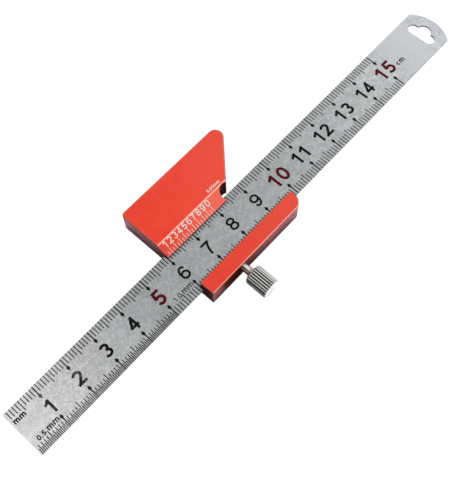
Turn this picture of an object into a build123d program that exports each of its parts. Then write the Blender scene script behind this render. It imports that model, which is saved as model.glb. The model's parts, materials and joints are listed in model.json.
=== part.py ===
from build123d import *
import math
import os

# Marking gauge: a graduated steel rule slides through a stop block, and a thumb screw locks it.
#
# Millimetres. The origin is the centre of the rule's square zero end, at half its thickness.
# +X runs along the rule's scale, +Z is up from the graduated face, and +Y points to the side of
# the rule where the block carries its vernier. The thumb screw stands on the -Y side.
# The rest pose is the gauge set to SETTING, with the screw just tight on the rule.

SETTING = 60.2              # reading at rest: distance from the zero end to the 90 degree fence face

# Rule
RULE_LENGTH = 175.0         # square end to the top of the rounded end
RULE_WIDTH = 15.0
RULE_THICKNESS = 0.5
RULE_END_RADIUS = 11.5
HANG_SLOT_CENTRE = 168.5    # along the rule
HANG_SLOT_LENGTH = 9.6      # across the rule
HANG_SLOT_WIDTH = 3.4
HANG_LOBE_OFFSET = 1.15     # from the slot's centre towards the rounded end
HANG_LOBE_RADIUS = 2.45

# Stop block, seen from above
BLOCK_LENGTH = 37.9         # along the rule, fence face to the bar's far end
BAR_SIDE_Y = -10.95         # outer side, where the thumb screw enters
FENCE_SIDE_Y = 24.6         # far side of the fence
MITRE_FOOT = 18.1           # from the fence face to where the 45 degree face line meets y = 0
MITRE_TIP_RADIUS = 2.5
BAR_CORNER_RADIUS = 3.5
FENCE_CORNER_RADIUS = 1.2
EDGE_BREAK = 0.25           # chamfer on the outer edges

# Stop block, cross section
BLOCK_TOP = 2.5
BLOCK_BOTTOM = -4.8
BOTTOM_EDGE_RADIUS = 0.8    # along the underside of the bar
RULE_CLEARANCE = 0.05       # all round the rule in its channel
LIP_OVERLAP = 1.3           # how far each side of the block reaches over the rule
VERNIER_LAND = 0.25         # thickness of the vernier's reading edge
VERNIER_ANGLE = 25.0        # slope of the vernier's face

# Relief in the inside corner between the 45 degree face and the rule
RELIEF_OFFSET = 26.4        # from the fence face, on the rule's edge line
RELIEF_RADIUS = 2.6

# Clamp: the thumb screw pushes a swivel pad against the rule's edge
SCREW_OFFSET = 12.25        # from the fence face
BORE_CLEARANCE = 0.05       # radial
BORE_BREAKTHROUGH = 0.3     # the hole runs this far past the channel's wall, so the pad meets the rule
THREAD_DIAMETER = 3.0
THREAD_CHAMFER = 0.3
NECK_DIAMETER = 2.3
NECK_LENGTH = 3.2           # from the block to the head
SHOULDER_DIAMETER = 3.3     # low collar where the neck meets the head
SHOULDER_LENGTH = 0.4
HEAD_DIAMETER = 6.05
HEAD_LENGTH = 7.1
HEAD_ROUNDING = 0.8         # on the end next to the neck
HEAD_CHAMFER = 0.2          # on the free end
KNURLS = 22
KNURL_DEPTH = 0.3
KNURL_MOUTH_SHARE = 0.8     # of the knurl's pitch that a groove takes at its mouth
PAD_GAP = 0.02              # between the pad and the rule's edge, and between the screw and the pad
PAD_DIAMETER = 2.3
PAD_LENGTH = 0.8
SPIGOT_DIAMETER = 1.0       # the screw's tip, on which the pad swivels
SPIGOT_LENGTH = 0.45
SOCKET_DEPTH = 0.5

# Worked out from the sizes above
HALF_RULE = RULE_WIDTH / 2
CHANNEL_HALF_WIDTH = HALF_RULE + RULE_CLEARANCE
CHANNEL_HALF_HEIGHT = RULE_THICKNESS / 2 + RULE_CLEARANCE
WINDOW_HALF_WIDTH = HALF_RULE - LIP_OVERLAP
VERNIER_EDGE_Z = CHANNEL_HALF_HEIGHT + VERNIER_LAND
VERNIER_RISE = BLOCK_TOP - VERNIER_EDGE_Z
CREASE_Y = WINDOW_HALF_WIDTH + VERNIER_RISE / math.tan(math.radians(VERNIER_ANGLE))
BLOCK_END = SETTING + BLOCK_LENGTH
BLOCK_HEIGHT = BLOCK_TOP - BLOCK_BOTTOM
MITRE_X = SETTING + MITRE_FOOT
SCREW_X = SETTING + SCREW_OFFSET
WALL_THICKNESS = -BAR_SIDE_Y - CHANNEL_HALF_WIDTH


def steel_rule():
    """Flat strip with one square end, one arched end and a hanging hole."""
    arch_start = RULE_LENGTH - RULE_END_RADIUS + math.sqrt(RULE_END_RADIUS**2 - HALF_RULE**2)
    sides = Polyline(
        (arch_start, HALF_RULE),
        (0, HALF_RULE),
        (0, -HALF_RULE),
        (arch_start, -HALF_RULE),
    )
    arch = ThreePointArc((arch_start, -HALF_RULE), (RULE_LENGTH, 0), (arch_start, HALF_RULE))
    slot = Pos(HANG_SLOT_CENTRE, 0) * SlotOverall(HANG_SLOT_LENGTH, HANG_SLOT_WIDTH, rotation=90)
    lobe = Pos(HANG_SLOT_CENTRE + HANG_LOBE_OFFSET, 0) * Circle(HANG_LOBE_RADIUS)
    strip = make_face(sides + arch) - (slot + lobe)
    return Pos(0, 0, -RULE_THICKNESS / 2) * extrude(strip, RULE_THICKNESS)


def block_outline():
    """The block seen from above: fence, 45 degree face and the bar beside the rule."""
    tip = (MITRE_X + FENCE_SIDE_Y, FENCE_SIDE_Y)
    outline = make_face(
        Polyline(
            (SETTING, BAR_SIDE_Y),
            (BLOCK_END, BAR_SIDE_Y),
            (BLOCK_END, HALF_RULE),
            (MITRE_X + HALF_RULE, HALF_RULE),
            tip,
            (SETTING, FENCE_SIDE_Y),
            close=True,
        )
    )
    for corner, radius in (
        (tip, MITRE_TIP_RADIUS),
        ((BLOCK_END, BAR_SIDE_Y), BAR_CORNER_RADIUS),
        ((SETTING, FENCE_SIDE_Y), FENCE_CORNER_RADIUS),
    ):
        vertex = outline.vertices().sort_by_distance((corner[0], corner[1], 0))[0]
        outline = fillet(vertex, radius)
    return outline


def block_section():
    """The block cut across the rule: bar, undercut channel for the rule, vernier slope and fence."""
    section = make_face(
        Polyline(
            (BAR_SIDE_Y, BLOCK_BOTTOM),
            (FENCE_SIDE_Y, BLOCK_BOTTOM),
            (FENCE_SIDE_Y, BLOCK_TOP),
            (CREASE_Y, BLOCK_TOP),
            (WINDOW_HALF_WIDTH, VERNIER_EDGE_Z),
            (WINDOW_HALF_WIDTH, CHANNEL_HALF_HEIGHT),
            (CHANNEL_HALF_WIDTH, CHANNEL_HALF_HEIGHT),
            (CHANNEL_HALF_WIDTH, -CHANNEL_HALF_HEIGHT),
            (-CHANNEL_HALF_WIDTH, -CHANNEL_HALF_HEIGHT),
            (-CHANNEL_HALF_WIDTH, CHANNEL_HALF_HEIGHT),
            (-WINDOW_HALF_WIDTH, CHANNEL_HALF_HEIGHT),
            (-WINDOW_HALF_WIDTH, BLOCK_TOP),
            (BAR_SIDE_Y, BLOCK_TOP),
            close=True,
        )
    )
    vertex = section.vertices().sort_by_distance((BAR_SIDE_Y, BLOCK_BOTTOM, 0))[0]
    return fillet(vertex, BOTTOM_EDGE_RADIUS)


def mitre_clearance():
    """What is cut away over the rule beyond the 45 degree face, so the vernier ends on that face."""
    wedge = make_face(
        Polyline(
            (MITRE_X, 0),
            (BLOCK_END, 0),
            (BLOCK_END, CREASE_Y),
            (MITRE_X + CREASE_Y, CREASE_Y),
            close=True,
        )
    )
    floor = -CHANNEL_HALF_HEIGHT
    return Pos(0, 0, floor) * extrude(wedge, BLOCK_TOP - floor)


def outer_top_edges(block):
    """The top edges that face outwards, which are the ones a hand meets."""
    inner = (CREASE_Y, -WINDOW_HALF_WIDTH)
    top = block.edges().filter_by_position(Axis.Z, BLOCK_TOP, BLOCK_TOP)
    return [edge for edge in top if not any(runs_along(edge, y) for y in inner)]


def runs_along(edge, y):
    """True for an edge whose two ends both lie on this y."""
    return all(abs((edge @ end).Y - y) < EDGE_BREAK / 2 for end in (0, 1))


def slider_body():
    """One aluminium block: extruded section, cut to its outline, with a relief and the screw's hole."""
    plan = Pos(0, 0, BLOCK_BOTTOM) * extrude(block_outline(), BLOCK_HEIGHT)
    length = MITRE_FOOT + FENCE_SIDE_Y
    profile = extrude(Plane.YZ.offset(SETTING) * block_section(), length)
    relief = Pos(SETTING + RELIEF_OFFSET, HALF_RULE, BLOCK_BOTTOM) * Cylinder(
        RELIEF_RADIUS, BLOCK_HEIGHT, align=(Align.CENTER, Align.CENTER, Align.MIN)
    )
    bore = screw_axis(-BORE_BREAKTHROUGH + RULE_CLEARANCE) * Cylinder(
        THREAD_DIAMETER / 2 + BORE_CLEARANCE,
        WALL_THICKNESS + BORE_BREAKTHROUGH,
        align=(Align.CENTER, Align.CENTER, Align.MIN),
    )
    block = (profile & plan) - mitre_clearance() - relief
    return chamfer(outer_top_edges(block), EDGE_BREAK) - bore


def screw_axis(start):
    """Frame on the screw's axis, start mm outside the rule's edge, with its z pointing out of the block."""
    return Pos(SCREW_X, -HALF_RULE - start, 0) * Rot(X=90)


def turned(points):
    """Solid of revolution about z from (radius, z) points, closed along the axis."""
    return revolve(make_face(Plane.XZ * Polyline(*points, close=True)), Axis.Z)


def pressure_pad():
    """Small disc between the screw and the rule, with a socket for the screw's spigot."""
    radius = PAD_DIAMETER / 2
    socket_radius = SPIGOT_DIAMETER / 2 + BORE_CLEARANCE
    socket_floor = PAD_LENGTH - SOCKET_DEPTH
    profile = (
        (0, 0),
        (radius, 0),
        (radius, PAD_LENGTH),
        (socket_radius, PAD_LENGTH),
        (socket_radius, socket_floor),
        (0, socket_floor),
    )
    return screw_axis(PAD_GAP) * turned(profile)


def knurl_grooves(start, length):
    """V grooves along the thumb screw's head, evenly spaced round its rim."""
    radius = HEAD_DIAMETER / 2
    half_mouth = KNURL_MOUTH_SHARE * math.pi * HEAD_DIAMETER / KNURLS / 2
    groove = make_face(
        Polyline(
            (radius - KNURL_DEPTH, 0),
            (radius + KNURL_DEPTH, 2 * half_mouth),
            (radius + KNURL_DEPTH, -2 * half_mouth),
            close=True,
        )
    )
    prism = extrude(groove, length)
    return [Pos(0, 0, start) * Rot(Z=360 * i / KNURLS) * prism for i in range(KNURLS)]


def thumb_screw():
    """Turned in one piece: spigot, thread, plain neck, low shoulder and knurled head."""
    tip = PAD_GAP + PAD_LENGTH + PAD_GAP
    block_side = CHANNEL_HALF_WIDTH - HALF_RULE + WALL_THICKNESS - tip
    head_start = block_side + NECK_LENGTH
    head_end = head_start + HEAD_LENGTH
    thread = THREAD_DIAMETER / 2
    neck = NECK_DIAMETER / 2
    shoulder = SHOULDER_DIAMETER / 2
    head = HEAD_DIAMETER / 2
    spigot = SPIGOT_DIAMETER / 2
    lower = Polyline(
        (0, head_end),
        (0, -SPIGOT_LENGTH),
        (spigot, -SPIGOT_LENGTH),
        (spigot, 0),
        (thread - THREAD_CHAMFER, 0),
        (thread, THREAD_CHAMFER),
        (thread, block_side - THREAD_CHAMFER),
        (neck, block_side),
        (neck, head_start - SHOULDER_LENGTH),
        (shoulder, head_start - SHOULDER_LENGTH),
        (shoulder, head_start),
        (head - HEAD_ROUNDING, head_start),
    )
    rounding = RadiusArc(
        (head - HEAD_ROUNDING, head_start), (head, head_start + HEAD_ROUNDING), -HEAD_ROUNDING
    )
    upper = Polyline(
        (head, head_start + HEAD_ROUNDING),
        (head, head_end - HEAD_CHAMFER),
        (head - HEAD_CHAMFER, head_end),
        (0, head_end),
    )
    blank = revolve(make_face(Plane.XZ * (lower + rounding + upper)), Axis.Z)
    for groove in knurl_grooves(head_start, HEAD_LENGTH):
        blank -= groove
    return screw_axis(tip) * blank


PIECES = {
    "steel_rule": steel_rule,
    "slider_body": slider_body,
    "thumb_screw": thumb_screw,
    "pressure_pad": pressure_pad,
}

os.makedirs("parts", exist_ok=True)
for name, build in PIECES.items():
    export_step(build(), f"parts/{name}.step")
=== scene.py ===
import json
import math

import bmesh
import bpy
from mathutils import Matrix, Vector


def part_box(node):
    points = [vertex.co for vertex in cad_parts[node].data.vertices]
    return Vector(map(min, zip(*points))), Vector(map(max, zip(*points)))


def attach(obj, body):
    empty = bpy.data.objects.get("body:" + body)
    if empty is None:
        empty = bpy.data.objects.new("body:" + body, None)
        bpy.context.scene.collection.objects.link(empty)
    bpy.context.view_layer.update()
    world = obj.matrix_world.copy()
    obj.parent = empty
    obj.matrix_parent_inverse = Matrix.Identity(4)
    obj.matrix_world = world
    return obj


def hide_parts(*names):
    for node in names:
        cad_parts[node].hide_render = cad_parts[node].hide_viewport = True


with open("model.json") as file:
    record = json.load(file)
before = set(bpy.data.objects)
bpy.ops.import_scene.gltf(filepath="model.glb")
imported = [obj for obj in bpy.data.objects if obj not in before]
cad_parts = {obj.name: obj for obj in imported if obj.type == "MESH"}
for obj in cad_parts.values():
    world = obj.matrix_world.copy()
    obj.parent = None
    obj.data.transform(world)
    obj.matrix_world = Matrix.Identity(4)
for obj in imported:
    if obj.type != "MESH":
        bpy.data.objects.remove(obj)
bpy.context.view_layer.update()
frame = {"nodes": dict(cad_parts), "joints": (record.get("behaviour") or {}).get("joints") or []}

# Marks and turned shapes are worked out in millimetres and placed in the frame in metres.
MM = 0.001
RULE_LOW, RULE_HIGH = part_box("steel_rule")
BLOCK_LOW, BLOCK_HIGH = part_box("slider_body")
SCREW_LOW, SCREW_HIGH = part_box("thumb_screw")
SCREW_AXIS = next(Vector(j["pos_m"]) for j in frame["joints"] if j["name"] == "screw_turn")
RULE_WIDTH = (RULE_HIGH.y - RULE_LOW.y) / MM

# Printed marks stand a hair above the metal and are rooted a hair below it.
INK_RISE = 0.012
INK_ROOT = 0.004


def face_frame(origin, right, up):
    """Matrix from (right, up, out) in mm on a flat face to the row frame in metres."""
    out = right.cross(up)
    axes = Matrix((right, up, out)).transposed().to_4x4()
    return Matrix.Translation(origin) @ axes @ Matrix.Scale(MM, 4)


def is_vernier_slope(face):
    """Whether a face of the block slopes down to the rule on the fence side."""
    runs_along = abs(face.normal.x) < 0.01
    leans_to_rule = face.normal.y < -0.1 and face.normal.z > 0.5
    return face.center.y > 0 and runs_along and leans_to_rule


def vernier_slope():
    """The slope's reading edge, beside the rule, and its crease above, both at the fence face."""
    mesh = frame["nodes"]["slider_body"].data
    faces = [face for face in mesh.polygons if is_vernier_slope(face)]
    corners = [mesh.vertices[i].co for face in faces for i in face.vertices]
    ends = (min(corners, key=lambda v: v.z), max(corners, key=lambda v: v.z))
    return [Vector((BLOCK_LOW.x, v.y, v.z)) for v in ends]


ALONG = Vector((1, 0, 0))
ACROSS = Vector((0, 1, 0))
READING_EDGE, CREASE = vernier_slope()
RULE_FACE = face_frame(Vector((0, 0, RULE_HIGH.z)), ALONG, ACROSS)
FENCE_FACE = face_frame(CREASE, ALONG, ACROSS)
VERNIER_FACE = face_frame(READING_EDGE, ALONG, (CREASE - READING_EDGE).normalized())


# ---------------------------------------------------------------- meshes


def new_object(name, mesh, material=None):
    """A scene object that shows a mesh."""
    made = bpy.data.objects.new(name, mesh)
    bpy.context.scene.collection.objects.link(made)
    if material:
        mesh.materials.append(material)
    return made


def mesh_from(bm, name):
    """Turns a finished bmesh into a mesh and frees it."""
    bmesh.ops.recalc_face_normals(bm, faces=bm.faces)
    mesh = bpy.data.meshes.new(name)
    bm.to_mesh(mesh)
    bm.free()
    return mesh


def add_prism(bm, outline, face):
    """A closed solid of ink a hair thick on a face, from its outline in mm."""
    low = [bm.verts.new(face @ Vector((u, v, -INK_ROOT))) for u, v in outline]
    high = [bm.verts.new(face @ Vector((u, v, INK_RISE))) for u, v in outline]
    bm.faces.new(low[::-1])
    bm.faces.new(high)
    for i in range(len(outline)):
        bm.faces.new((low[i - 1], low[i], high[i], high[i - 1]))


# ---------------------------------------------------------------- lettering
# Each character is a set of strokes in a cell one unit high: straight lines and elliptical arcs,
# swept with a pen of a given weight and then joined into one closed solid one unit thick.

ARC_STEP = math.radians(10)
CURVE_STEPS = 8
SAME_POINT = 1e-6
MITRE_LIMIT = 0.6           # least cosine of half a bend that a mitre is drawn out for
DIGIT_WIDTH = 0.68
LETTER_HEIGHT = 0.74        # lower-case letters against digits
LETTER_GAP = 0.14
WIDTHS = {".": 0.16, "m": 1.0, "c": 0.6}


def arc(centre, radii, start, end):
    """Points along an ellipse from one angle to another, in degrees."""
    start, end = math.radians(start), math.radians(end)
    steps = max(2, math.ceil(abs(end - start) / ARC_STEP))
    angles = [start + (end - start) * i / steps for i in range(steps + 1)]
    return [(centre[0] + radii[0] * math.cos(a), centre[1] + radii[1] * math.sin(a)) for a in angles]


def curve(start, control, end):
    """Points along a quadratic curve."""
    points = []
    for i in range(CURVE_STEPS + 1):
        t = i / CURVE_STEPS
        weights = ((1 - t) ** 2, 2 * t * (1 - t), t**2)
        parts = list(zip(weights, (start, control, end)))
        points.append(tuple(sum(weight * part[k] for weight, part in parts) for k in (0, 1)))
    return points


def loop(centre, radii):
    """A closed ellipse."""
    return arc(centre, radii, 0, 360)


def strokes_of(character, weight):
    """The pen strokes of one character. A stroke that ends where it starts is a closed loop."""
    half = weight / 2
    width = WIDTHS.get(character, DIGIT_WIDTH)
    middle = width / 2
    side = middle - half
    top = 1 - half
    waist = 0.52
    top_bowl = ((middle, (top + waist) / 2), (side * 0.94, (top - waist) / 2))
    low_bowl = ((middle, (half + waist) / 2), (side, (waist - half) / 2))
    round_bowl = ((middle, 0.33), (side, 0.33 - half))
    if character == "0":
        return [loop((middle, 0.5), (side, 0.5 - half))]
    if character == "1":
        stem = width * 0.6
        flag = curve((stem, 0.97), (stem - 0.11, 0.8), (0.07, 0.72))
        return [[(stem, 0), (stem, 1)], flag]
    if character == "2":
        bowl = arc((middle, 0.7), (side, 0.3 - half), 165, -20)
        neck = curve(bowl[-1], (middle + 0.06, 0.36), (half * 1.1, half))
        return [bowl + neck, [(0, half), (width, half)]]
    if character == "3":
        return [arc(*top_bowl, 155, -90), arc(*low_bowl, 90, -155)]
    if character == "4":
        stem, bar = width * 0.72, 0.29
        slant = [(stem, 0.96), (half * 0.8, bar - half * 0.3)]
        return [[(stem, 0), (stem, 1)], [(0, bar), (width, bar)], slant]
    if character == "5":
        shoulder = arc(*round_bowl, 140, 139)[0]
        neck = [(width * 0.18 + half, top), (shoulder[0] - half * 0.2, shoulder[1] - half * 0.2)]
        return [[(width * 0.18, top), (width * 0.94, top)], neck, arc(*round_bowl, 145, -155)]
    if character in "69":
        back = arc((middle + 0.02, 0.5), (side + 0.02, 0.5 - half), 190, 38)
        strokes = [loop(*round_bowl), back]
        if character == "9":
            strokes = [[(width - u, 1 - v) for u, v in stroke] for stroke in strokes]
        return strokes
    if character == "7":
        slant = curve((width - half * 0.9, top), (width * 0.46, 0.62), (width * 0.36, 0))
        return [[(0, top), (width, top)], slant]
    if character == "8":
        return [loop(*top_bowl), loop(*low_bowl)]
    if character == ".":
        return [[(middle, 0), (middle, weight)]]
    if character == "m":
        arch = (width - weight) / 4
        knee = LETTER_HEIGHT - half - arch
        first = arc((half + arch, knee), (arch, arch), 180, 0) + [(middle, 0)]
        second = arc((middle + arch, knee), (arch, arch), 180, 0) + [(width - half, 0)]
        return [[(half, 0), (half, LETTER_HEIGHT)], first, second]
    if character == "c":
        return [arc((middle, LETTER_HEIGHT / 2), (side, LETTER_HEIGHT / 2 - half), 45, 315)]
    raise ValueError(f"no strokes for {character!r}")


def offset_sides(points, weight, closed):
    """The two sides of a pen stroke, mitred where it bends."""
    count = len(points)
    left, right = [], []
    for i, point in enumerate(points):
        before = points[(i - 1) % count] if closed or i else point
        after = points[(i + 1) % count] if closed or i < count - 1 else point
        arriving = (Vector(point) - Vector(before)).normalized() if before != point else None
        leaving = (Vector(after) - Vector(point)).normalized() if after != point else None
        arriving = arriving or leaving
        leaving = leaving or arriving
        along = (arriving + leaving).normalized()
        reach = weight / 2 / max(MITRE_LIMIT, along.dot(leaving))
        aside = Vector((-along.y, along.x)) * reach
        left.append(Vector(point) + aside)
        right.append(Vector(point) - aside)
    return left, right


def stroke_mesh(points, weight):
    """One pen stroke as a closed solid one unit thick."""
    closed = math.dist(points[0], points[-1]) < SAME_POINT
    points = points[:-1] if closed else points
    left, right = offset_sides(points, weight, closed)
    bm = bmesh.new()
    rings = []
    for a, b in zip(left, right):
        corners = ((*a, 0), (*b, 0), (*b, 1), (*a, 1))
        rings.append([bm.verts.new(corner) for corner in corners])
    following = rings[1:] + rings[:1] if closed else rings[1:]
    for first, second in zip(rings, following):
        for k in range(4):
            bm.faces.new((first[k - 1], first[k], second[k], second[k - 1]))
    if not closed:
        bm.faces.new(rings[0])
        bm.faces.new(rings[-1][::-1])
    return mesh_from(bm, "stroke")


def union(meshes):
    """One closed mesh from overlapping closed meshes."""
    if len(meshes) == 1:
        return meshes[0]
    base = new_object("union_base", meshes[0])
    others = [new_object("union_part", mesh) for mesh in meshes[1:]]
    for other in others:
        join = base.modifiers.new("join", "BOOLEAN")
        join.operation = "UNION"
        join.solver = "EXACT"
        join.object = other
    joined = base.evaluated_get(bpy.context.evaluated_depsgraph_get())
    result = bpy.data.meshes.new_from_object(joined)
    for used in [base, *others]:
        bpy.data.objects.remove(used)
    return result


GLYPHS = {}


def glyph(character, weight):
    """The character's solid, made once for each weight."""
    key = (character, weight)
    if key not in GLYPHS:
        GLYPHS[key] = union([stroke_mesh(points, weight) for points in strokes_of(character, weight)])
    return GLYPHS[key]


def text_width(text, gap):
    """Width of a line of text in a cell one unit high."""
    return sum(WIDTHS.get(c, DIGIT_WIDTH) for c in text) + gap * (len(text) - 1)


def write(bm, text, face, centre, baseline, height, weight, gap=LETTER_GAP):
    """Adds a line of raised lettering, centred on a point of a face, in mm."""
    u = centre - height * text_width(text, gap) / 2
    for character in text:
        place = Matrix.Translation((u, baseline, -INK_ROOT))
        size = Matrix.Diagonal((height, height, INK_ROOT + INK_RISE, 1))
        mesh = glyph(character, weight).copy()
        mesh.transform(face @ place @ size)
        bm.from_mesh(mesh)
        bpy.data.meshes.remove(mesh)
        u += height * (WIDTHS.get(character, DIGIT_WIDTH) + gap)


# ---------------------------------------------------------------- scales

HALF_MM_TICK = 1.65
MM_TICK = 2.6
FIVE_MM_TICK = 3.5
ARROW_LENGTH = 4.3
ARROW_HEAD = 1.5
ARROW_HEAD_WIDTH = 1.05
ARROW_SHAFT_WIDTH = 0.36
ARROW_POINT_WIDTH = 0.12
ARROW_SHOULDER = 0.55       # the widest place, as a share of the head's length from its point
TICK_WIDTH = 0.25
SCALE_END = 150
HALF_MM_END = 50


def add_tick(bm, face, u, edge, inward, length, width):
    """A plain tick from an edge of the scale, inward being +1 or -1 across it."""
    half = width / 2
    end = edge + inward * length
    add_prism(bm, [(u - half, edge), (u + half, edge), (u + half, end), (u - half, end)], face)


def add_arrow(bm, face, u, edge, inward):
    """A centimetre mark: a shaft from the edge that ends in a lozenge head."""
    shaft = ARROW_SHAFT_WIDTH / 2
    neck = ARROW_LENGTH - ARROW_HEAD
    shoulder = ARROW_LENGTH - ARROW_HEAD * ARROW_SHOULDER
    head = [(ARROW_HEAD_WIDTH / 2, shoulder), (ARROW_POINT_WIDTH / 2, ARROW_LENGTH)]
    right = [(shaft, 0), (shaft, neck), *head]
    outline = right + [(-side, along) for side, along in reversed(right)]
    add_prism(bm, [(u + side, edge + inward * along) for side, along in outline], face)


def finish_marks(bm, name, material, body):
    """Makes one piece of a bmesh of marks, which rides on a body."""
    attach(new_object(name, mesh_from(bm, name), material), body)


def rule_edge_scale(name, edge, inward, half_mm_end, material):
    """The ticks along one edge of the rule, in half millimetres up to half_mm_end."""
    bm = bmesh.new()
    for step in range(1, 2 * SCALE_END + 1):
        u = step / 2
        if step % 20 == 0:
            add_arrow(bm, RULE_FACE, u, edge, inward)
        elif step % 10 == 0:
            add_tick(bm, RULE_FACE, u, edge, inward, FIVE_MM_TICK, TICK_WIDTH)
        elif step % 2 == 0:
            add_tick(bm, RULE_FACE, u, edge, inward, MM_TICK, TICK_WIDTH)
        elif u < half_mm_end:
            add_tick(bm, RULE_FACE, u, edge, inward, HALF_MM_TICK, TICK_WIDTH)
    finish_marks(bm, name, material, "rule")


LAST_NUMERAL = SCALE_END // 10
RED_EVERY = 5
NUMERAL_HEIGHT = 4.2
RED_NUMERAL_HEIGHT = 4.7
NUMERAL_GAP = 0.1
BOLD = 0.185
MEDIUM = 0.155
MEDIUM_NUMERALS = range(6, 10)      # the numerals near the block have a lighter pen


def rule_numerals(name, numbers, height, material):
    """Centimetre numerals down the middle of the rule."""
    bm = bmesh.new()
    for number in numbers:
        weight = MEDIUM if number in MEDIUM_NUMERALS else BOLD
        write(bm, str(number), RULE_FACE, 10 * number, -height / 2, height, weight, NUMERAL_GAP)
    finish_marks(bm, name, material, "rule")


# Each label: its text, its middle along the rule, its baseline across the rule, height and weight.
RULE_LABELS = (
    ("mm", 2.55, 3.05, 1.75, 0.21),
    ("0.5", 3.3, -4.45, 1.5, 0.2),
    ("mm", 7.35, -4.45, 1.8, 0.2),
    ("1.0", 53.5, -4.55, 1.5, 0.14),
    ("mm", 57.4, -4.55, 1.75, 0.14),
    ("cm", 156.0, -2.0, 1.8, 0.2),
)


def rule_units(material):
    """The small unit labels beside the scales."""
    bm = bmesh.new()
    for text, centre, baseline, height, weight in RULE_LABELS:
        write(bm, text, RULE_FACE, centre, baseline, height, weight)
    finish_marks(bm, "rule_unit_labels", material, "rule")


VERNIER_DIVISIONS = 20
VERNIER_PITCH = 0.95
VERNIER_START = 0.2         # from the fence face to where the zero line would be
VERNIER_LONG_TICK = 2.0
VERNIER_SHORT_TICK = 1.25
VERNIER_TICK_WIDTH = 0.16
VERNIER_DIGIT_HEIGHT = 2.0
VERNIER_BASELINE = VERNIER_LONG_TICK + 0.25
VERNIER_PEN = 0.15
READING_LABEL = ("0.05mm", FENCE_FACE, 24.1, 0.5, 1.0, 0.2)     # in the order that write takes them


def vernier_scale(material):
    """Vernier ticks and their numerals, and the reading's unit above them."""
    ticks = bmesh.new()
    numerals = bmesh.new()
    for k in range(1, VERNIER_DIVISIONS + 1):
        u = VERNIER_START + k * VERNIER_PITCH
        long = k % 2 == 0
        length = VERNIER_LONG_TICK if long else VERNIER_SHORT_TICK
        add_tick(ticks, VERNIER_FACE, u, 0, 1, length, VERNIER_TICK_WIDTH)
        if long:
            digit = str(k // 2 % 10)
            write(numerals, digit, VERNIER_FACE, u, VERNIER_BASELINE, VERNIER_DIGIT_HEIGHT, VERNIER_PEN)
    write(numerals, *READING_LABEL)
    finish_marks(ticks, "vernier_ticks", material, "slider")
    finish_marks(numerals, "vernier_numerals", material, "slider")


# ---------------------------------------------------------------- thumb screw

THREAD_RADIUS = 1.5
THREAD_PITCH = 0.5
THREAD_DEPTH = 0.307
THREAD_CREST = 0.125        # the flat crest and both flanks, as shares of the pitch
THREAD_FLANKS = 0.625
THREAD_CHAMFER = 0.3
THREAD_STEPS = 48
SPIGOT_RADIUS = 0.5
SPIGOT_LENGTH = 0.45
SPIGOT_CHAMFER = 0.1
NECK_RADIUS = 1.2
SHOULDER_RADIUS = 1.65
SHOULDER_LENGTH = 0.4
SHOULDER_LEAD = 0.05        # the shoulder's straight start, after the flare
SHOULDER_CHAMFER = 0.06
FLARE_LENGTH = 0.5
FLARE_STEPS = 6
HEAD_LENGTH = 7.1
HEAD_ROUNDING = 0.8
ROUNDING_STEPS = 7
HEAD_CHAMFER = 0.2
FREE_END_RINGS = (0.8, 0.5, 0.2)    # shares of the head's radius
KNURLS = 22
KNURL_DEPTH = 0.34
KNURL_TURN = math.radians(6.4)
SIDES_PER_KNURL = 10
SHARP_ANGLE = math.radians(28)


def thread_radius(along, angle):
    """Radius of a right-hand thread with flat crests and roots."""
    phase = (along / THREAD_PITCH - angle / math.tau) % 1
    slope = min(1, max(0, (abs(phase - 0.5) * 2 - THREAD_CREST) / THREAD_FLANKS))
    return THREAD_RADIUS - THREAD_DEPTH * slope


def knurl_radius(crest, angle):
    """Radius of a straight knurl with rounded ridges and sharp grooves."""
    return crest - KNURL_DEPTH * (1 - abs(math.sin((angle + KNURL_TURN) * KNURLS / 2)))


# A station is a distance from the screw's tip and the radius it is turned to there, in mm.


def spigot_and_thread(block_side):
    """Stations from the screw's tip to the block's side."""
    start, end = SPIGOT_LENGTH + THREAD_CHAMFER, block_side - THREAD_CHAMFER
    stations = [(0, SPIGOT_RADIUS - SPIGOT_CHAMFER), (SPIGOT_CHAMFER, SPIGOT_RADIUS)]
    stations += [(SPIGOT_LENGTH, SPIGOT_RADIUS), (SPIGOT_LENGTH, THREAD_RADIUS - THREAD_CHAMFER)]
    for i in range(THREAD_STEPS + 1):
        stations.append((start + (end - start) * i / THREAD_STEPS, THREAD_RADIUS))
    return stations


def neck_and_shoulder(block_side, head_start):
    """Stations from the block's side to the head: the neck, a flare and the low shoulder."""
    flare_end = head_start - SHOULDER_LENGTH
    flare_rise = SHOULDER_RADIUS - NECK_RADIUS
    stations = [(block_side, NECK_RADIUS)]
    for i in range(FLARE_STEPS + 1):
        turn = math.pi / 2 * i / FLARE_STEPS
        along = flare_end - FLARE_LENGTH + FLARE_LENGTH * math.sin(turn)
        stations.append((along, NECK_RADIUS + flare_rise * (1 - math.cos(turn))))
    stations += [(flare_end + SHOULDER_LEAD, SHOULDER_RADIUS)]
    stations += [(head_start - SHOULDER_CHAMFER, SHOULDER_RADIUS)]
    return stations + [(head_start, SHOULDER_RADIUS - SHOULDER_CHAMFER)]


def head_stations(head_start, head_end, head_radius):
    """Stations of the head: rounded beside the neck and chamfered at the free end."""
    stations = [(head_start, head_radius - HEAD_ROUNDING)]
    for i in range(1, ROUNDING_STEPS + 1):
        turn = math.pi / 2 * i / ROUNDING_STEPS
        along = head_start + HEAD_ROUNDING * (1 - math.cos(turn))
        stations.append((along, head_radius - HEAD_ROUNDING * (1 - math.sin(turn))))
    stations += [(head_end - HEAD_CHAMFER, head_radius), (head_end, head_radius - HEAD_CHAMFER)]
    return stations + [(head_end, head_radius * share) for share in FREE_END_RINGS]


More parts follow.
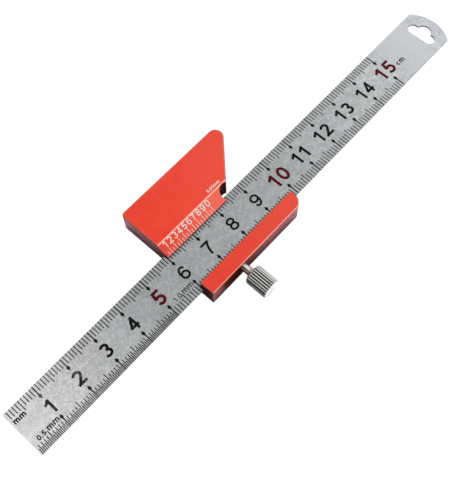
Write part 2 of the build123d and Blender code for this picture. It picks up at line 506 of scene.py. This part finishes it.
def turned_mesh(name, stations, sides, radius_at, point):
    """A closed mesh with a ring at each (distance, radius) station, and its radius from radius_at."""
    bm = bmesh.new()
    angles = [math.tau * i / sides for i in range(sides)]
    rings = []
    for along, turned in stations:
        places = [point(along, radius_at(along, turned, angle), angle) for angle in angles]
        rings.append([bm.verts.new(place) for place in places])
    for near, far in zip(rings, rings[1:]):
        for i in range(sides):
            bm.faces.new((near[i - 1], near[i], far[i], far[i - 1]))
    for ring, (along, _) in ((rings[0], stations[0]), (rings[-1], stations[-1])):
        centre = bm.verts.new(point(along, 0, 0))
        for i in range(sides):
            bm.faces.new((ring[i - 1], ring[i], centre))
    return mesh_from(bm, name)


def thumb_screw(material):
    """The screw as it is turned, threaded and knurled, measured from its tip."""
    tip = SCREW_HIGH.y
    block_side = (tip - BLOCK_LOW.y) / MM
    head_end = (tip - SCREW_LOW.y) / MM
    head_start = head_end - HEAD_LENGTH
    head_radius = (SCREW_HIGH.z - SCREW_LOW.z) / 2 / MM
    stations = spigot_and_thread(block_side)
    stations += neck_and_shoulder(block_side, head_start)
    stations += head_stations(head_start, head_end, head_radius)

    def radius_at(along, turned, angle):
        """The turned radius, less the cut of the thread or of the knurl."""
        if SPIGOT_LENGTH <= along < block_side and turned > SPIGOT_RADIUS:
            return min(turned, thread_radius(along, angle))
        if along > head_start:
            return min(turned, knurl_radius(head_radius, angle))
        return turned

    def point(along, radius, angle):
        """A place on the screw in the row frame."""
        beside = radius * MM * math.cos(angle)
        above = radius * MM * math.sin(angle)
        return SCREW_AXIS.x + beside, tip - along * MM, SCREW_AXIS.z + above

    mesh = turned_mesh("knurled_thumb_screw", stations, KNURLS * SIDES_PER_KNURL, radius_at, point)
    mesh.shade_smooth()
    mesh.set_sharp_from_angle(angle=SHARP_ANGLE)
    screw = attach(new_object("knurled_thumb_screw", mesh, material), "screw")
    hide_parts("thumb_screw")


# ---------------------------------------------------------------- shader nodes

WHITE = (1.0, 1.0, 1.0)
SHADOW_SAMPLES = 8
EDGE_SAMPLES = 6


class Graph:
    """The shader nodes of a material or a world."""

    def __init__(self, owner):
        owner.use_nodes = True
        self.nodes = owner.node_tree.nodes
        self.links = owner.node_tree.links

    def node(self, kind, inputs=None, **settings):
        """A new node. Inputs are by name or number, and each is a value or another node's socket."""
        made = self.nodes.new("ShaderNode" + kind)
        for key, value in settings.items():
            setattr(made, key, value)
        for key, value in (inputs or {}).items():
            self.feed(made.inputs[key], value)
        return made

    def feed(self, socket, value):
        """Gives an input a value, or links it to another node's socket."""
        if isinstance(value, bpy.types.NodeSocket):
            self.links.new(value, socket)
        else:
            socket.default_value = value

    def math(self, operation, first, second=0.0, clamp=False):
        """The result of an operation on one or two numbers."""
        return self.node("Math", {0: first, 1: second}, operation=operation, use_clamp=clamp).outputs[0]

    def times(self, first, second):
        """The product of two numbers, which for two masks is where both hold."""
        return self.math("MULTIPLY", first, second)

    def vector(self, operation, first, second=None, scale=None):
        """The result of an operation on vectors: a number for a dot product, or else a vector."""
        inputs = {0: first}
        if second is not None:
            inputs[1] = second
        if scale is not None:
            inputs["Scale"] = scale
        made = self.node("VectorMath", inputs, operation=operation)
        return made.outputs["Value" if operation == "DOT_PRODUCT" else "Vector"]

    def axis(self, vector, name):
        """The X, Y or Z part of a vector."""
        return self.node("SeparateXYZ", {"Vector": vector}).outputs[name]

    def span(self, value, low, high, to_low=0.0, to_high=1.0, smooth=True):
        """Maps low..high to to_low..to_high, and holds at the ends."""
        kind = "SMOOTHSTEP" if smooth else "LINEAR"
        inputs = {"Value": value, "From Min": low, "From Max": high}
        inputs.update({"To Min": to_low, "To Max": to_high})
        return self.node("MapRange", inputs, interpolation_type=kind).outputs["Result"]

    def band(self, value, start, full, fading, end):
        """1 from full to fading, down to 0 at start and at end."""
        return self.times(self.span(value, start, full), self.span(value, end, fading))

    def ramp(self, value, stops):
        """Grey by value, from (position, grey) stops."""
        made = self.node("ValToRGB", {"Fac": value})
        elements = made.color_ramp.elements
        while len(elements) < len(stops):
            elements.new(0.5)
        for element, (position, grey) in zip(elements, stops):
            element.position = position
            element.color = (grey, grey, grey, 1)
        return made.outputs["Color"]

    def mix(self, share, first, second, blend="MIX"):
        """The first colour taken towards the second by a share, or blended with it."""
        made = self.node("Mix", {"Factor": share}, data_type="RGBA", blend_type=blend)
        colours = [socket for socket in made.inputs if socket.type == "RGBA"]
        for socket, value in zip(colours, (first, second)):
            self.feed(socket, (*value, 1) if isinstance(value, tuple) else value)
        return next(socket for socket in made.outputs if socket.type == "RGBA")

    def tinted(self, first, second):
        """The product of two colours."""
        return self.mix(1.0, first, second, "MULTIPLY")

    def openness(self, reach_mm, **inputs):
        """1 in the open, down to 0 where other surfaces crowd in within reach_mm."""
        inputs["Distance"] = reach_mm * MM
        return self.node("AmbientOcclusion", inputs, samples=SHADOW_SAMPLES).outputs["AO"]


class Finish(Graph):
    """A material. Positions come in millimetres in the row frame, and ride with the piece."""

    def __init__(self, name):
        self.material = bpy.data.materials.new(name)
        super().__init__(self.material)
        self.surface = self.nodes["Principled BSDF"]
        coordinates = self.node("TexCoord").outputs["Object"]
        self.place = self.vector("SCALE", coordinates, scale=1 / MM)

    def surface_is(self, **inputs):
        """Sets the surface's inputs, with underscores for the spaces in their names."""
        for key, value in inputs.items():
            self.feed(self.surface.inputs[key.replace("_", " ")], value)

    def noise(self, per_mm, detail=2.0, rough=0.5, place=None):
        """Fractal noise, 0 to 1, with about per_mm features to the millimetre."""
        inputs = {"Vector": place or self.place, "Scale": per_mm, "Detail": detail, "Roughness": rough}
        return self.node("TexNoise", inputs).outputs["Fac"]

    def stretched(self, scale, turn=0.0):
        """Positions turned about z and then scaled, which draws noise out into streaks."""
        inputs = {"Vector": self.place, "Rotation": (0, 0, turn), "Scale": scale}
        return self.node("Mapping", inputs, vector_type="TEXTURE").outputs["Vector"]

    def bump(self, height, strength, depth_mm, normal=None):
        """The surface's direction with fine relief on it."""
        inputs = {"Height": height, "Strength": strength, "Distance": depth_mm * MM}
        if normal is not None:
            inputs["Normal"] = normal
        return self.node("Bump", inputs).outputs["Normal"]

    def facing(self):
        """The surface's own direction, without relief."""
        return self.node("NewGeometry").outputs["Normal"]

    def rounded(self, radius_mm):
        """The surface's direction as if its sharp edges had a small radius."""
        return self.node("Bevel", {"Radius": radius_mm * MM}, samples=EDGE_SAMPLES).outputs["Normal"]

    def edge_mask(self, rounded):
        """1 near a sharp edge, where the rounded direction leaves the surface's own, or else 0."""
        return self.span(self.vector("DOT_PRODUCT", rounded, self.facing()), 0.999, 0.985)


# ---------------------------------------------------------------- materials
# Places within a material are in mm, and colours are linear red, green and blue.

# Painted light falloff: grey of the rule by the share of its length from the zero end, brightest at the
# zero end.
STEEL_PAINTED_FALLOFF = (
    (0.0, 0.66), (0.08, 0.565), (0.14, 0.46), (0.2, 0.425), (0.27, 0.345),
    (0.45, 0.365), (0.6, 0.395), (0.8, 0.45), (0.93, 0.475), (1.0, 0.435),
)
STEEL_COOL = (0.95, 0.995, 1.005)
STEEL_BLUE = (0.955, 0.98, 1.03)
LIP_SHADOW = (0.07, 0.03, 0.03)
SCRATCH_TURN = math.radians(24)


def steel_mottle(g, grain, bent, along):
    """Flecks that lighten and darken about 1: calm past the scale, with pale worms near its zero."""
    flakes = g.node("TexVoronoi", {"Vector": bent, "Scale": 1.3}, feature="SMOOTH_F1").outputs["Color"]
    flake = g.node("SeparateColor", {"Color": flakes}).outputs[0]
    cloud = g.noise(0.16, 2.0)
    calm = g.span(g.band(along, 152, 157, 165, 168), 0, 1, 1.0, 0.2)
    swing = g.math("ADD", g.span(grain, 0.3, 0.7, -0.2, 0.2), g.span(flake, 0.2, 0.8, -0.09, 0.09))
    swing = g.times(swing, calm)
    shade = g.math("ADD", g.math("ADD", swing, 1.0), g.span(cloud, 0.3, 0.7, -0.03, 0.03))
    contour = g.math("ABSOLUTE", g.math("SUBTRACT", g.noise(0.9, 0.0, place=bent), 0.5))
    worm = g.span(contour, 0.0, 0.045, 0.32, -0.04)
    return g.math("ADD", shade, g.times(worm, g.band(along, 4, 9, 22, 30)))


def rule_steel():
    """Satin stainless steel with a fine mottled grain, a painted light falloff that is brightest at its
    zero end, and painted shadow where the block crowds in close.
    """
    g = Finish("mottled_satin_steel")
    along = g.axis(g.place, "X")
    # painted light falloff along the rule, brightest at the zero end
    painted_falloff = g.ramp(g.math("DIVIDE", along, RULE_HIGH.x / MM), STEEL_PAINTED_FALLOFF)
    tint = g.mix(g.span(along, 15, 45), WHITE, STEEL_COOL)
    tint = g.mix(g.span(along, 150, 158), tint, STEEL_BLUE)
    grain = g.noise(3.2, 3.0, 0.6)
    warp = g.node("TexNoise", {"Vector": g.place, "Scale": 0.9, "Detail": 1.0}).outputs["Color"]
    bent = g.vector("ADD", g.place, g.vector("SCALE", warp, scale=1.6))
    colour = g.tinted(g.tinted(painted_falloff, tint), steel_mottle(g, grain, bent, along))
    colour = g.mix(g.span(g.openness(1.5), 0.6, 1.0), LIP_SHADOW, colour)
    scratches = g.noise(2.0, 4.0, 0.7, g.stretched((18.0, 0.5, 1.0), SCRATCH_TURN))
    rough = g.math("ADD", g.span(grain, 0.3, 0.7, 0.3, 0.4), g.span(scratches, 0.55, 0.8, 0.0, 0.1))
    height = g.math("ADD", grain, g.times(scratches, 0.5))
    g.surface_is(
        Base_Color=colour,
        Metallic=1.0,
        Roughness=rough,
        Normal=g.bump(height, 0.25, 0.012, g.rounded(0.06)),
    )
    return g.material


RED_DYE = ((0.76, 0.024, 0.001), (0.82, 0.038, 0.004))
RED_BLOTCH = (0.86, 0.065, 0.03)
FAR_END_SHEEN_RED = (0.82, 0.07, 0.035)
# painted light on the slopes and chamfers: darker at the fence end, paler further on
PAINTED_SLOPE_LIGHT_REDS = ((0.50, 0.025, 0.006), (0.59, 0.102, 0.055))
WORN_AND_HIGHLIGHT_RED = (1.0, 0.46, 0.34)
BAR_PAINTED_SHADE = 0.9              # painted shade: the bar's side of the block darker, against the fence's


def anodised_red():
    """Red anodised aluminium over a blasted surface, with worn edges that carry a painted highlight too,
    and painted light: a highlight under the slope's crease, lighter reds on its slopes, a sheen towards
    the far end and shade on the bar's half.
    """
    g = Finish("red_anodised_aluminium")
    blast = g.noise(5.5, 3.0, 0.6)
    cloud = g.noise(0.12, 3.0)
    blotch = g.noise(0.5, 3.0, 0.6)
    rounded = g.rounded(0.15)
    upward = g.axis(g.facing(), "Z")
    facet = g.band(upward, 0.4, 0.5, 0.93, 0.97)
    from_fence = g.math("SUBTRACT", g.axis(g.place, "X"), BLOCK_LOW.x / MM)
    under_top = g.math("SUBTRACT", BLOCK_HIGH.z / MM, g.axis(g.place, "Z"))
    # painted highlight: a pale band on the slopes and chamfers just under the top face
    crease_highlight = g.times(facet, g.span(under_top, 0.24, 0.12))
    base = g.mix(g.span(cloud, 0.3, 0.7), *RED_DYE)
    base = g.mix(g.span(blotch, 0.35, 0.75, 0.0, 0.2), base, RED_BLOTCH)
    # painted sheen: the block pales towards its far end
    base = g.mix(g.span(from_fence, 6, 38, 0.0, 0.55), base, FAR_END_SHEEN_RED)
    # painted light: the slopes and chamfers take a red that pales away from the fence end, standing in
    # for the key light's sheen
    base = g.mix(g.times(facet, 0.65), base, g.mix(g.span(from_fence, 1, 23), *PAINTED_SLOPE_LIGHT_REDS))
    # edges: partly real wear, partly a painted highlight where they catch the light
    wear_and_highlight = g.times(g.edge_mask(rounded), g.span(g.noise(0.9, 3.0, 0.7), 0.3, 0.65, 0.12, 0.4))
    base = g.mix(g.math("MAXIMUM", wear_and_highlight, g.times(crease_highlight, 0.75)), base, WORN_AND_HIGHLIGHT_RED)
    # painted shade on the bar's half of the block
    base = g.tinted(base, g.span(g.axis(g.place, "Y"), -8, 8, BAR_PAINTED_SHADE, 1.0))
    g.surface_is(
        Base_Color=base,
        Metallic=1.0,
        Roughness=g.math("ADD", g.span(blast, 0.3, 0.7, 0.3, 0.42), g.span(cloud, 0.3, 0.7, -0.03, 0.03)),
        Coat_Weight=1.0,
        Coat_IOR=1.42,
        Coat_Roughness=0.15,
        Normal=g.bump(blast, 0.22, 0.012, rounded),
    )
    return g.material


NICKEL = ((0.50, 0.50, 0.485), (0.64, 0.635, 0.615))
GROOVE_GRIME_AND_SHADE = (0.015, 0.015, 0.017)


def nickel_plate():
    """Bright nickel over turned steel, with grime and painted shade darkening the knurl's grooves."""
    g = Finish("nickel_plated_steel")
    turning = g.noise(1.6, 3.0, 0.6, g.stretched((3.0, 0.12, 3.0)))
    cloud = g.noise(0.7, 2.0)
    # the grooves go dark by their openness: partly grime, partly painted shade
    groove = g.openness(0.5)
    g.surface_is(
        Base_Color=g.mix(g.span(groove, 0.5, 0.97), GROOVE_GRIME_AND_SHADE, g.mix(g.span(turning, 0.3, 0.7), *NICKEL)),
        Metallic=1.0,
        Roughness=g.math("ADD", g.span(cloud, 0.3, 0.7, 0.12, 0.2), g.span(groove, 0.3, 0.9, 0.15, 0.0)),
        Normal=g.bump(turning, 0.12, 0.006, g.rounded(0.05)),
    )
    return g.material


BRASS = (0.70, 0.50, 0.20)
TARNISHED_BRASS = (0.48, 0.33, 0.14)


def turned_brass():
    """Dull brass with turning rings."""
    g = Finish("turned_brass")
    from_axis = g.vector("SUBTRACT", g.place, tuple(v / MM for v in SCREW_AXIS))
    wave = {"Vector": from_axis, "Scale": 2.2, "Distortion": 0.6}
    rings = g.node("TexWave", wave, wave_type="RINGS", rings_direction="Y").outputs["Fac"]
    tarnish = g.noise(1.5, 3.0)
    g.surface_is(
        Base_Color=g.mix(g.span(tarnish, 0.35, 0.7), BRASS, TARNISHED_BRASS),
        Metallic=1.0,
        Roughness=g.span(tarnish, 0.3, 0.7, 0.28, 0.45),
        Normal=g.bump(rings, 0.3, 0.01),
    )
    return g.material


def ink(name, dark, pale, fade=0.25, zero_end_sheen=0.0):
    """Printed ink that thins in small patches, and that a painted reflection pales in patches near the
    rule's zero end.
    """
    g = Finish(name)
    pale_share = g.times(g.span(g.noise(1.1, 4.0, 0.65), 0.42, 0.75), fade)
    along = g.axis(g.place, "X")
    # painted reflection: the ink is paler in patches near the rule's zero end, where light glints on it
    sheen_zone = g.band(along, 7, 9, 20, 25)
    sheen_patch = g.span(g.noise(0.6, 1.0), 0.4, 0.6, 0.1, zero_end_sheen)
    pale_share = g.math("ADD", pale_share, g.times(sheen_zone, sheen_patch), clamp=True)
    g.surface_is(
        Base_Color=g.mix(pale_share, dark, pale),
        Roughness=g.span(g.noise(3.0, 2.0), 0.3, 0.7, 0.5, 0.65),
        Specular_IOR_Level=0.06,
        Normal=g.bump(g.noise(5.0, 2.0), 0.3, 0.006),
    )
    return g.material


# ---------------------------------------------------------------- studio
# The camera and the lights aim at TARGET, in metres. A direction points from there to what it names.

TARGET = Vector((0.07616, -0.00403, 0.0))
CAMERA_DISTANCE = 0.2375
CAMERA_AZIMUTH = math.radians(-136.99)
CAMERA_ELEVATION = math.radians(65.85)
CAMERA_ROLL = math.radians(-1.04)
CAMERA_LENS = 62.94
CAMERA_CLIP = 0.01
LIGHT_DISTANCE = 0.45
KEY_DIRECTION = Vector((0.38, -0.76, 0.53)).normalized()
SIDE_DIRECTION = Vector((0.93, 0.22, 0.3)).normalized()
STRIP_DIRECTION = Vector((-0.905, 0.24, 0.34)).normalized()
OPEN_DIRECTION = Vector((0.80, -0.35, 0.50)).normalized()
HOOD_DIRECTION = Vector((-0.65, 0.10, 0.75)).normalized()
RIGHT_FLAG = Vector((0.96, 0.28, 0.0)).normalized()
LEFT_FLAG = Vector((-0.96, 0.28, 0.0)).normalized()


def aimed_from(direction):
    """The turn of a camera or light that stands in a direction and looks back."""
    return direction.to_track_quat("Z", "Y").to_matrix().to_4x4()


def camera():
    """Looks down on the gauge from the rule's zero end."""
    level = math.cos(CAMERA_ELEVATION)
    away = Vector((
        level * math.cos(CAMERA_AZIMUTH),
        level * math.sin(CAMERA_AZIMUTH),
        math.sin(CAMERA_ELEVATION),
    ))
    data = bpy.data.cameras.new("camera")
    data.lens = CAMERA_LENS
    data.clip_start = CAMERA_CLIP
    made = bpy.data.objects.new("camera", data)
    turn = aimed_from(away) @ Matrix.Rotation(CAMERA_ROLL, 4, "Z")
    made.matrix_world = Matrix.Translation(TARGET + away * CAMERA_DISTANCE) @ turn
    bpy.context.scene.collection.objects.link(made)
    bpy.context.scene.camera = made


FLOOR_REACH = 1.5
PAPER = ((0.93, 0.93, 0.93), (0.95, 0.95, 0.95))
PAPER_GLOW = 1.14
GLOW_SHARE = 0.85           # how much of what the camera sees is glow, the rest being lit paper
# painted shade: a cool tint of the floor's glow near the bar
NEAR_BAR_SHADE_TINT = (0.93, 0.96, 1.1)
OPEN_FLOOR = 1.45           # brightness of the floor that the metal mirrors, in the open
NEAR_BAR_GLOW = 0.57             # the same in front of the bar, dimmer as painted shade
SCREW_SHADE = 0.3           # share of that left beside the screw, a painted shadow of the screw
PIT_SHADE = 0.04            # share left where the block or screw closes off the light
ZERO_END_SHADE = 0.1        # share left in faces that look towards the rule's zero end


def mirrored_floor(g):
    """The floor's glow in the metal, with painted shadows: darker before the bar, beside the screw and
    where they close in.
    """
    x, y = g.axis(g.place, "X"), g.axis(g.place, "Y")
    screw_x, bar_y = SCREW_AXIS.x / MM, BLOCK_LOW.y / MM
    before_bar = g.span(y, bar_y - 12, bar_y - 7)
    beside_screw = g.band(x, screw_x - 8, screw_x - 5, screw_x + 0.5, screw_x + 2.5)
    beside_screw = g.times(beside_screw, before_bar)
    glow = g.times(
        g.span(before_bar, 0, 1, OPEN_FLOOR, NEAR_BAR_GLOW),
        g.span(beside_screw, 0, 1, 1.0, SCREW_SHADE),
    )
    glow = g.times(glow, g.span(g.openness(12, Normal=OPEN_DIRECTION), 0.45, 0.8, PIT_SHADE, 1.0))
    seen_from = g.axis(g.node("NewGeometry").outputs["Incoming"], "X")
    glow = g.times(glow, g.span(seen_from, 0.0, 0.95, 1.0, ZERO_END_SHADE, smooth=False))
    colour = g.mix(before_bar, WHITE, NEAR_BAR_SHADE_TINT)
    return g.node("Emission", {"Color": colour, "Strength": glow}).outputs[0]


def paper_floor():
    """A pale sweep under the block, plain white to the camera."""
    bm = bmesh.new()
    bmesh.ops.create_grid(bm, x_segments=1, y_segments=1, size=FLOOR_REACH)
    floor = new_object("floor", mesh_from(bm, "floor"))
    floor.location.z = BLOCK_LOW.z
    g = Finish("white_paper")
    lit = g.node("BsdfDiffuse", {"Color": g.mix(g.noise(0.02, 3.0), *PAPER)}).outputs[0]
    bright = g.node("Emission", {"Color": (*WHITE, 1), "Strength": PAPER_GLOW}).outputs[0]
    seen = g.node("MixShader", {0: GLOW_SHARE, 1: lit, 2: bright}).outputs[0]
    direct = g.node("LightPath").outputs["Is Camera Ray"]
    shown = g.node("MixShader", {0: direct, 1: mirrored_floor(g), 2: seen}).outputs[0]
    g.feed(g.nodes["Material Output"].inputs["Surface"], shown)
    floor.data.materials.append(g.material)


WALL_LIGHT = 0.5
ROOF_LIGHT = 1.2
FLAG_LIGHT = 0.06           # share of the tent's light left in front of a flag or the hood
HOOD_LIGHT = 0.02


def sky():
    """A soft white tent: bright overhead, with a dark hood and two flags, and white to the camera."""
    world = bpy.data.worlds.new("tent")
    bpy.context.scene.world = world
    g = Graph(world)
    direction = g.node("TexCoord").outputs["Generated"]

    def shade(towards, near, far, darkest):
        """1 away from a dark card, down to darkest in front of it."""
        return g.span(g.vector("DOT_PRODUCT", direction, towards), near, far, 1.0, darkest)

    flags = g.times(shade(RIGHT_FLAG, 0.8, 0.95, FLAG_LIGHT), shade(LEFT_FLAG, 0.8, 0.95, FLAG_LIGHT))
    walls = g.times(flags, WALL_LIGHT)
    roof = g.span(g.axis(direction, "Z"), 0.4, 0.95, 0.0, ROOF_LIGHT)
    strength = g.times(g.math("MAXIMUM", walls, roof), shade(HOOD_DIRECTION, 0.85, 0.97, HOOD_LIGHT))
    tent = g.nodes["Background"]
    g.feed(tent.inputs["Color"], (*WHITE, 1))
    g.feed(tent.inputs["Strength"], strength)
    backdrop = g.node("Background", {"Color": (*WHITE, 1)})
    seen = g.node("LightPath").outputs["Is Camera Ray"]
    shown = g.node("MixShader", {0: seen, 1: tent.outputs[0], 2: backdrop.outputs[0]})
    g.feed(g.nodes["World Output"].inputs["Surface"], shown.outputs[0])


def softbox(name, direction, width, height, watts):
    """An area light that faces the block."""
    data = bpy.data.lights.new(name, "AREA")
    data.shape = "RECTANGLE"
    data.size = width
    data.size_y = height
    data.energy = watts
    made = bpy.data.objects.new(name, data)
    place = Matrix.Translation(TARGET + direction * LIGHT_DISTANCE)
    made.matrix_world = place @ aimed_from(direction)
    bpy.context.scene.collection.objects.link(made)


def paint_cad(node, material):
    """Gives a CAD node its material."""
    mesh = frame["nodes"][node].data
    mesh.materials.clear()
    mesh.materials.append(material)


# the black ink's pale blue-grey serves both thin ink and the painted reflection near the zero end
black_ink = ink("black_ink", (0.002, 0.002, 0.0025), (0.09, 0.095, 0.12), zero_end_sheen=1.0)
red_ink = ink("dark_red_ink", (0.10, 0.003, 0.006), (0.20, 0.03, 0.035))
white_ink = ink("white_ink", (0.92, 0.90, 0.87), (0.85, 0.45, 0.38), fade=0.3)
numerals = range(1, LAST_NUMERAL + 1)
black_numerals = [n for n in numerals if n % RED_EVERY]
red_numerals = [n for n in numerals if n % RED_EVERY == 0]

paint_cad("steel_rule", rule_steel())
paint_cad("slider_body", anodised_red())
paint_cad("pressure_pad", turned_brass())
thumb_screw(nickel_plate())
rule_edge_scale("scale_far_edge", RULE_WIDTH / 2, -1, 0, black_ink)
rule_edge_scale("scale_near_edge", -RULE_WIDTH / 2, 1, HALF_MM_END, black_ink)
rule_numerals("numerals_black", black_numerals, NUMERAL_HEIGHT, black_ink)
rule_numerals("numerals_red", red_numerals, RED_NUMERAL_HEIGHT, red_ink)
rule_units(black_ink)
vernier_scale(white_ink)

camera()
paper_floor()
sky()
softbox("key", KEY_DIRECTION, 0.28, 0.46, watts=0.33)
softbox("side", SIDE_DIRECTION, 0.3, 0.42, watts=0.5)
softbox("strip", STRIP_DIRECTION, 0.4, 0.06, watts=0.1)
bpy.context.scene.view_settings.view_transform = "Standard"
